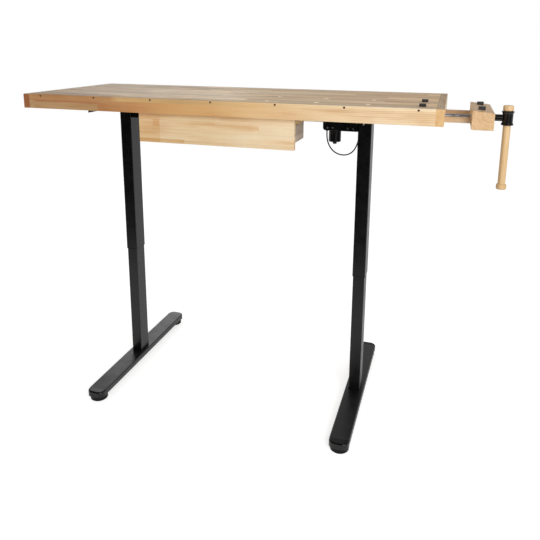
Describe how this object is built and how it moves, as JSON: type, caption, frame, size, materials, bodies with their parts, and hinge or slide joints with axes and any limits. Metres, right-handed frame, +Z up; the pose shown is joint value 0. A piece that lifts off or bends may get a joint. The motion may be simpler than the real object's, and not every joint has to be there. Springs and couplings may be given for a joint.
{
  "type": "height-adjustable woodworking bench",
  "caption": "Long wooden bench top with an end vise, bench dogs and a hanging drawer, on two telescopic steel legs lifted by one motor through a hexagonal shaft.",
  "frame": {"origin": "on the floor, below the middle of the overall box", "axes": "+X along the bench to the vise, +Y to the back, +Z up; the user stands at -Y"},
  "size_m": [1.772, 0.752, 1.2393],
  "materials": {
    "top_board": "oiled",
    "edge_beech": "lacquered",
    "pale_beech": "planed",
    "handle_beech": "turned",
    "drawer_wood": "planed",
    "black_steel": "satin powder coat",
    "black_casting": "matte",
    "zinc_steel": "zinc plated",
    "dark_screw": "dark",
    "black_plastic": "fine grain",
    "grey_plastic": "smooth",
    "nut_plastic": "smooth",
    "black_rubber": "matte"
  },
  "bodies": {
    "right_base": {"inner_tube_right": "black_steel", "spindle_nut_right": "nut_plastic", "foot_right": "black_steel", "foot_caps_right": "black_plastic"},
    "top": {"top_panel": "top_board", "front_apron": "edge_beech", "back_apron": "edge_beech", "left_end_cap": "edge_beech", "right_end_cap": "edge_beech", "cross_batten": "pale_beech", "apron_screws": "dark_screw", "guide_blocks": "pale_beech", "vise_nut": "black_casting", "drawer_rails": "pale_beech", "side_brackets": "black_steel", "crossbars": "black_steel", "panel_screws": "zinc_steel", "bracket_bolts": "zinc_steel", "leg_tube_left": "black_steel", "leg_tube_right": "black_steel", "glide_bushes": "black_plastic", "gear_housing_front": "black_plastic", "gear_housing_rear": "black_plastic", "housing_screws": "zinc_steel", "motor_body": "black_steel", "left_gearbox": "black_plastic", "control_box": "black_plastic", "handset": "black_plastic", "cable_glands": "black_rubber", "motor_cable": "black_rubber"},
    "left_base": {"inner_tube_left": "black_steel", "spindle_nut_left": "nut_plastic", "foot_left": "black_steel", "foot_caps_left": "black_plastic"},
    "pad_front_right": {"pad_front_right": "black_plastic"},
    "pad_rear_right": {"pad_rear_right": "black_plastic"},
    "pad_front_left": {"pad_front_left": "black_plastic"},
    "pad_rear_left": {"pad_rear_left": "black_plastic"},
    "spindle_left": {"spindle_left": "zinc_steel"},
    "spindle_right": {"spindle_right": "zinc_steel"},
    "drive_shaft": {"drive_shaft": "zinc_steel"},
    "motor_rotor": {"motor_pinion": "zinc_steel"},
    "vise_jaw": {"vise_jaw": "edge_beech", "guide_bars": "pale_beech", "thrust_plate": "zinc_steel"},
    "vise_screw": {"vise_screw": "zinc_steel", "screw_hub": "black_casting"},
    "vise_handle": {"handle_bar": "handle_beech", "handle_knobs": "handle_beech"},
    "drawer": {"drawer_front": "pale_beech", "drawer_sides": "drawer_wood", "drawer_back": "drawer_wood", "drawer_bottom": "drawer_wood", "drawer_hangers": "pale_beech"},
    "bench_dog_front": {"bench_dog_front": "black_plastic"},
    "bench_dog_rear": {"bench_dog_rear": "black_plastic"},
    "jaw_dog_front": {"jaw_dog_front": "black_plastic"},
    "jaw_dog_rear": {"jaw_dog_rear": "black_plastic"},
    "button_down": {"button_down": "grey_plastic"},
    "button_up": {"button_up": "grey_plastic"}
  },
  "joints": [
    {"name": "lift", "type": "slide", "parent": "right_base", "child": "top", "axis": [0, 0, 1], "range_m": [-0.455, 0.025]},
    {"name": "left_leg_slide", "type": "slide", "parent": "top", "child": "left_base", "axis": [0, 0, -1], "range_m": [-0.4551, 0.0251]},
    {"name": "left_spindle_spin", "type": "hinge", "parent": "top", "child": "spindle_left", "pos_m": [-0.606, 0, 1.138], "axis": [0, 0, 1], "range_deg": [-16381, 901]},
    {"name": "right_spindle_spin", "type": "hinge", "parent": "top", "child": "spindle_right", "pos_m": [0.394, 0, 1.138], "axis": [0, 0, -1], "range_deg": [-16381, 901]},
    {"name": "drive_shaft_spin", "type": "hinge", "parent": "top", "child": "drive_shaft", "pos_m": [0, 0, 1.138], "axis": [1, 0, 0], "range_deg": [-16381, 901]},
    {"name": "motor_spin", "type": "hinge", "parent": "top", "child": "motor_rotor", "pos_m": [0.277, 0, 1.138], "axis": [0, 0, 1], "range_deg": [-16381, 901]},
    {"name": "vise_slide", "type": "slide", "parent": "top", "child": "vise_jaw", "axis": [1, 0, 0], "range_m": [-0.08, 0.05]},
    {"name": "vise_screw_spin", "type": "hinge", "parent": "vise_jaw", "child": "vise_screw", "pos_m": [0.867, -0.155, 1.195], "axis": [1, 0, 0], "range_deg": [-5761, 3601]},
    {"name": "handle_slide", "type": "slide", "parent": "vise_screw", "child": "vise_handle", "axis": [0, 0, 1], "range_m": [0, 0.194]},
    {"name": "drawer_slide", "type": "slide", "parent": "top", "child": "drawer", "axis": [0, -1, 0], "range_m": [0, 0.15]},
    {"name": "bench_dog_front_slide", "type": "slide", "parent": "top", "child": "bench_dog_front", "axis": [0, 0, 1], "range_m": [0, 0.03]},
    {"name": "bench_dog_rear_slide", "type": "slide", "parent": "top", "child": "bench_dog_rear", "axis": [0, 0, 1], "range_m": [0, 0.03]},
    {"name": "jaw_dog_front_slide", "type": "slide", "parent": "vise_jaw", "child": "jaw_dog_front", "axis": [0, 0, 1], "range_m": [0, 0.03]},
    {"name": "jaw_dog_rear_slide", "type": "slide", "parent": "vise_jaw", "child": "jaw_dog_rear", "axis": [0, 0, 1], "range_m": [0, 0.03]},
    {"name": "pad_front_right_adjust", "type": "slide", "parent": "right_base", "child": "pad_front_right", "axis": [0, 0, -1], "range_m": [0, 0.01]},
    {"name": "pad_rear_right_adjust", "type": "slide", "parent": "right_base", "child": "pad_rear_right", "axis": [0, 0, -1], "range_m": [0, 0.01]},
    {"name": "pad_front_left_adjust", "type": "slide", "parent": "left_base", "child": "pad_front_left", "axis": [0, 0, -1], "range_m": [0, 0.01]},
    {"name": "pad_rear_left_adjust", "type": "slide", "parent": "left_base", "child": "pad_rear_left", "axis": [0, 0, -1], "range_m": [0, 0.01]},
    {"name": "button_down_press", "type": "slide", "parent": "top", "child": "button_down", "axis": [0, 0, 1], "range_m": [0, 0.0012], "stiffness_N_per_m": 400, "springref_m": -0.002},
    {"name": "button_up_press", "type": "slide", "parent": "top", "child": "button_up", "axis": [0, 0, 1], "range_m": [0, 0.0012], "stiffness_N_per_m": 400, "springref_m": -0.002}
  ],
  "couplings": [
    {"joint": "left_leg_slide", "follows": "lift", "ratio": 1},
    {"joint": "left_spindle_spin", "follows": "lift", "rad_per_m": 628.32},
    {"joint": "right_spindle_spin", "follows": "lift", "rad_per_m": 628.32},
    {"joint": "drive_shaft_spin", "follows": "lift", "rad_per_m": 628.32},
    {"joint": "motor_spin", "follows": "lift", "rad_per_m": 628.32},
    {"joint": "vise_screw_spin", "follows": "vise_slide", "rad_per_m": 1256.6}
  ]
}
